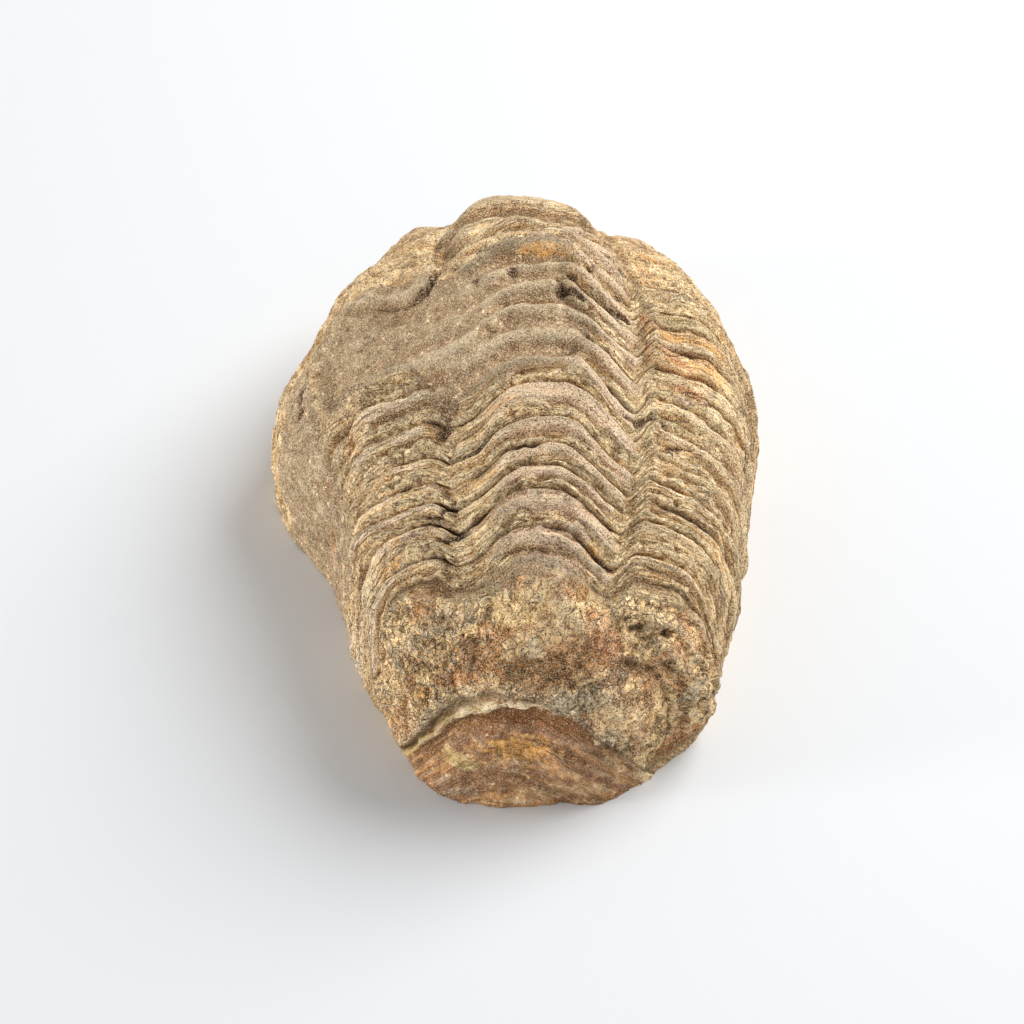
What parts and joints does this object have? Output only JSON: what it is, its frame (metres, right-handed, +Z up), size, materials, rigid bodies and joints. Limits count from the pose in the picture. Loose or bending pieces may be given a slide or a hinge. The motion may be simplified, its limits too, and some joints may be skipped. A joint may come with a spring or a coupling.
{
  "type": "trilobite fossil",
  "caption": "Solid stone trilobite fossil: ringed middle lobe between ribbed side lobes, with the head folded down, a broken tail end and a flat underside.",
  "frame": {"origin": "centre of the bounding box's bottom, on the surface that the fossil rests on", "axes": "+Z up, +Y along the animal's length towards the folded head, tail end at -Y, +X to the animal's right"},
  "size_m": [0.0576, 0.0782, 0.0367],
  "materials": {
    "stone": "dry, rough, gritty limestone, sandy buff with grey-purple bands and orange-brown stains"
  },
  "bodies": {
    "root": {"trilobite_fossil": "stone"}
  },
  "joints": []
}
